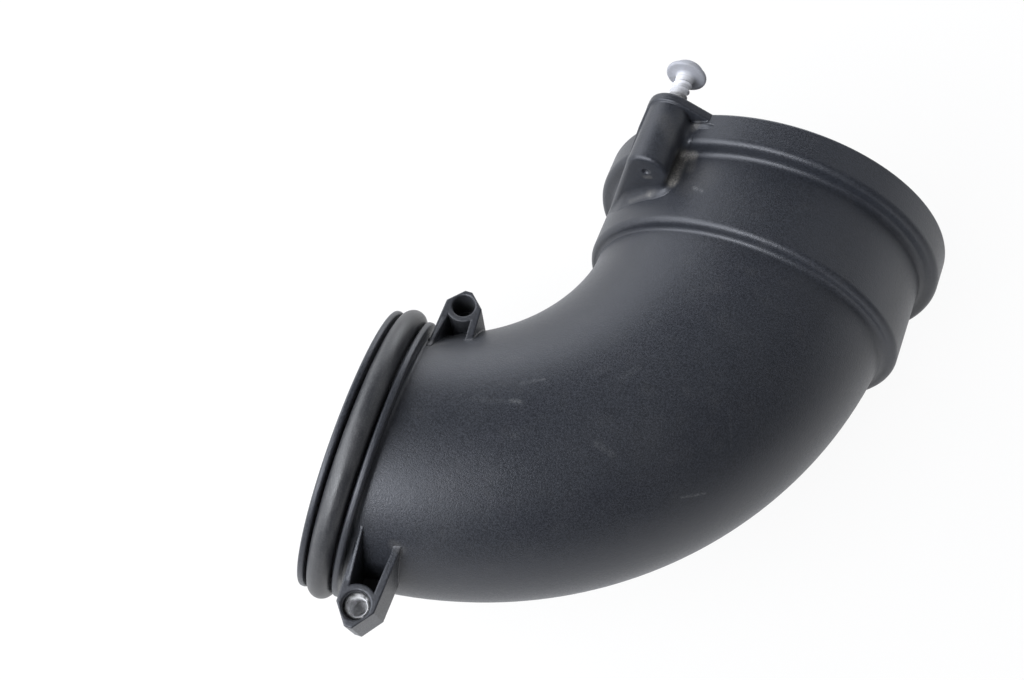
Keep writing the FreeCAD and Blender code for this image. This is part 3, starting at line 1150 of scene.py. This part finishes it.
@dataclass(frozen=True)
class SealRubber:
    """Dark grey rubber with a dusty bloom that lies in streaks along the ring."""

    base: Colour = colour(0.017, 0.018, 0.021)
    bloom: Colour = colour(0.095, 0.093, 0.094)
    roughness: float = 0.4
    ior: float = 1.5

    def make(self) -> bpy.types.Material:
        """Return the material."""
        g = Graph.material("seal_rubber")
        cloud = g.noise(120.0, 4.0)
        streak = g.noise(1.0, 4.0, 0.6, g.stretched((900.0, 90.0, 90.0)))
        grain = g.noise(2100.0, 2.0, 0.65)
        film = cloud.ramp(0.4, 0.75) * 0.16 + streak.ramp(0.45, 0.75) * 0.2
        dust = (film + grain.ramp(0.45, 0.7) * 0.22).clamp()
        shade = g.mix(dust, self.base, self.bloom)
        rough = self.roughness + (cloud - 0.5) * 0.2 + dust * 0.15
        normal = g.bump(grain + streak * 0.5, 0.0001, 0.8)
        return g.finish(shade, rough, normal, {"IOR": self.ior})


@dataclass(frozen=True)
class ZincPlate:
    """Zinc plating, dull on the head, with painted light that makes the thread paler, and soiled
    where it meets the boss.
    """

    seat: Point
    axis: Point
    stand: float
    head: Colour = colour(0.28, 0.285, 0.315)
    # Paler colour of the thread: painted light from above that no lamp gives.
    white: Colour = colour(0.52, 0.522, 0.55)
    grime: Colour = colour(0.20, 0.19, 0.175)
    roughness: float = 0.7
    metal: float = 0.2

    def make(self) -> bpy.types.Material:
        """Return the material."""
        g = Graph.material("zinc_plate")
        cloud = g.noise(620.0, 4.0)
        grain = g.noise(3000.0, 3.0)
        height = g.height(self.seat, self.axis)
        # Painted light: the thread below the head takes the paler colour in place of light from
        # above.
        thread = 1.0 - height.ramp(self.stand - 1.2, self.stand + 0.1)
        soil = (1.0 - height.ramp(1.5, 6.5)) * (0.35 + cloud.ramp(0.3, 0.6) * 0.5)
        shade = g.mix(soil, g.mix(thread, self.head, self.white), self.grime)
        shade = g.mix(cloud.ramp(0.45, 0.75) * 0.3, shade, self.grime)
        rough = self.roughness + (cloud - 0.5) * 0.25
        normal = g.bump(grain + cloud, 0.00005, 0.7)
        return g.finish(shade, rough, normal, {"Metallic": self.metal})


@dataclass(frozen=True)
class TurnedSteel:
    """Turned steel, pale in the thread, partly its own colour and partly painted light, with
    painted shade on the end that shows.
    """

    end: Point
    axis: Point
    # Thread colour, raised above the steel's own as painted light deep in the hole.
    bright: Colour = colour(0.92, 0.92, 0.93)
    soiled: Colour = colour(0.62, 0.62, 0.63)
    # Near-black painted shade for the end that shows.
    painted_end_shade: Colour = colour(0.05, 0.05, 0.052)
    roughness: float = 0.45
    metal: float = 0.3

    def make(self) -> bpy.types.Material:
        """Return the material."""
        g = Graph.material("turned_steel")
        cloud = g.noise(520.0, 4.0, 0.6)
        height = g.height(self.end, self.axis)
        # Painted shade: the end that shows and the top of the thread are darkened.
        film = height.ramp(-0.8, -0.1) * (0.6 + cloud.ramp(0.3, 0.6) * 0.4)
        shade = g.mix(film, g.mix(cloud.ramp(0.42, 0.62), self.bright, self.soiled), self.painted_end_shade)
        rough = self.roughness + cloud.ramp(0.42, 0.62) * 0.2 + film * 0.2
        normal = g.bump(g.noise(2600.0, 2.0), 0.00004, 0.6)
        return g.finish(shade, rough, normal, {"Metallic": self.metal})


@dataclass
class Softbox:
    """One large square lamp aimed at the object."""

    name: str
    azimuth: float
    elevation: float
    size: float
    power: float
    distance: float = 0.9
    aim: Point = (0.075, 0.05, 0.0)
    tint: Point = (0.96, 0.99, 1.035)

    def build(self) -> None:
        """Add the lamp."""
        lamp = bpy.data.lights.new(self.name, "AREA")
        lamp.shape = "SQUARE"
        lamp.size = self.size
        lamp.energy = self.power
        lamp.color = self.tint
        holder = add_object(self.name, lamp)
        a, e = math.radians(self.azimuth), math.radians(self.elevation)
        way = Vector((math.cos(e) * math.cos(a), math.cos(e) * math.sin(a), math.sin(e)))
        holder.location = Vector(self.aim) + way * self.distance
        holder.rotation_euler = way.to_track_quat("Z", "Y").to_euler()


@dataclass
class Studio:
    """White floor, soft light and the camera."""

    focal_px: float = 1125.0
    azimuth: float = 5.844
    elevation: float = 69.239
    roll: float = 12.929
    distance: float = 357.87
    target: Point = (35.439, 49.108, 0.0)
    floor_half: float = 3.0
    floor_drop: float = 0.0005
    floor_white: Colour = colour(0.66, 0.66, 0.66)
    floor_glow: float = 1.03
    floor_share: float = 0.12
    floor_glint: float = 0.8
    floor_fade: tuple[float, float] = (0.35, 0.9)
    white: Colour = colour(1.0, 1.0, 1.0)
    sky: float = 0.12
    lamps: list[Softbox] = field(default_factory=lambda: [
        Softbox("lamp_front_left", 225.0, 45.0, 0.6, 7.2),
        Softbox("lamp_front", 248.0, 36.0, 0.3, 3.4),
        Softbox("lamp_low_left", 218.0, 17.0, 0.6, 3.8),
        Softbox("lamp_left", 180.0, 25.0, 0.6, 5.8),
        Softbox("lamp_far_left", 138.0, 15.0, 0.6, 2.2),
        Softbox("lamp_far", 97.0, 9.0, 0.6, 4.8),
        Softbox("lamp_far_right", 48.0, 38.0, 0.6, 0.8),
        Softbox("lamp_right", 25.0, 5.0, 0.6, 1.2),
    ])

    def floor(self) -> None:
        """Add the white floor, which shows only a faint shadow to the camera."""
        half = self.floor_half
        z = CAD_BOX[0][2] - self.floor_drop
        corners = [(-half, -half, z), (half, -half, z), (half, half, z), (-half, half, z)]
        mesh = bpy.data.meshes.new("floor")
        mesh.from_pydata(corners, [], [(0, 1, 2, 3)])
        plane = add_object("floor", mesh)
        g = Graph.material("white_floor")
        matt = g.node("BsdfDiffuse", {}, {"Color": self.floor_white})
        light = {"Color": self.white, "Strength": self.floor_glow}
        glow = g.node("Emission", {}, light)
        rays = ("Is Camera Ray", "Is Glossy Ray", "Is Transmission Ray")
        seen, glint, through = (g.node("LightPath", {}, {}, ray) for ray in rays)
        share = (seen + glint * self.floor_glint + through).clamp() * (1.0 - self.floor_share)
        far = g.vector("LENGTH", g.place(), out="Value").ramp(*self.floor_fade)
        share = share + seen * far * self.floor_share
        mixed = g.node("MixShader", {}, {0: share, 1: matt, 2: glow})
        mesh.materials.append(g.close(mixed))

    def world(self) -> None:
        """Set an even dim sky that looks white to the camera."""
        g = Graph(bpy.data.worlds.new("studio"), "OutputWorld")
        skies = [{"Color": self.white, "Strength": strength} for strength in (self.sky, 1.0)]
        dim, bright = (g.node("Background", {}, sky) for sky in skies)
        seen = g.node("LightPath", {}, {}, "Is Camera Ray")
        mixed = g.node("MixShader", {}, {0: seen, 1: dim, 2: bright})
        bpy.context.scene.world = g.close(mixed)

    def camera(self) -> None:
        """Add the camera at the photograph's place and angle."""
        az, el, roll = (math.radians(v) for v in (self.azimuth, self.elevation, self.roll))
        back = Vector((math.sin(az) * math.cos(el), -math.cos(az) * math.cos(el), math.sin(el)))
        right = Vector((math.cos(az), math.sin(az), 0.0))
        up = back.cross(right)
        across = right * math.cos(roll) + up * math.sin(roll)
        upward = up * math.cos(roll) - right * math.sin(roll)
        lens = bpy.data.cameras.new("camera")
        lens.sensor_fit = "HORIZONTAL"
        lens.sensor_width = SENSOR
        lens.lens = self.focal_px / PHOTO_WIDTH * SENSOR
        lens.clip_start = 0.01
        eye = add_object("camera", lens)
        place = (Vector(self.target) + back * self.distance) * MM
        turn = Matrix((across, upward, back)).transposed()
        eye.matrix_world = Matrix.Translation(place) @ turn.to_4x4()
        bpy.context.scene.camera = eye

    def build(self) -> None:
        """Add the floor, the light and the camera."""
        self.floor()
        self.world()
        for lamp in self.lamps:
            lamp.build()
        self.camera()
        bpy.context.scene.view_settings.view_transform = "Standard"


def main() -> None:
    """Build each piece, dress it and set the studio round it."""
    logging.basicConfig(level=logging.INFO, format="%(message)s")
    plastic = MouldedPlastic().make()
    body = DuctBody()
    boss = ScrewBoss(body)
    inner = Ear(body, Side.INNER, "ear_hole", sunk=0.0, hole_r=3.35, tip=4.9)
    outer = Ear(body, Side.OUTER, "ear_thread", sunk=2.9, hole_r=3.9, tip=6.1)
    for maker in (body, boss, inner, outer):
        maker.build().data.materials.append(plastic)
    SpigotSeal().build().data.materials.append(SealRubber().make())
    screw = MouthScrew(boss)
    screw.build().data.materials.append(ZincPlate(screw.seat, tuple(PATH.way), screw.stand).make())
    insert = EarInsert(outer)
    insert.build().data.materials.append(TurnedSteel(insert.end, tuple(outer.matrix[:, 2])).make())
    Studio().build()


if __name__ == "__main__":
    main()
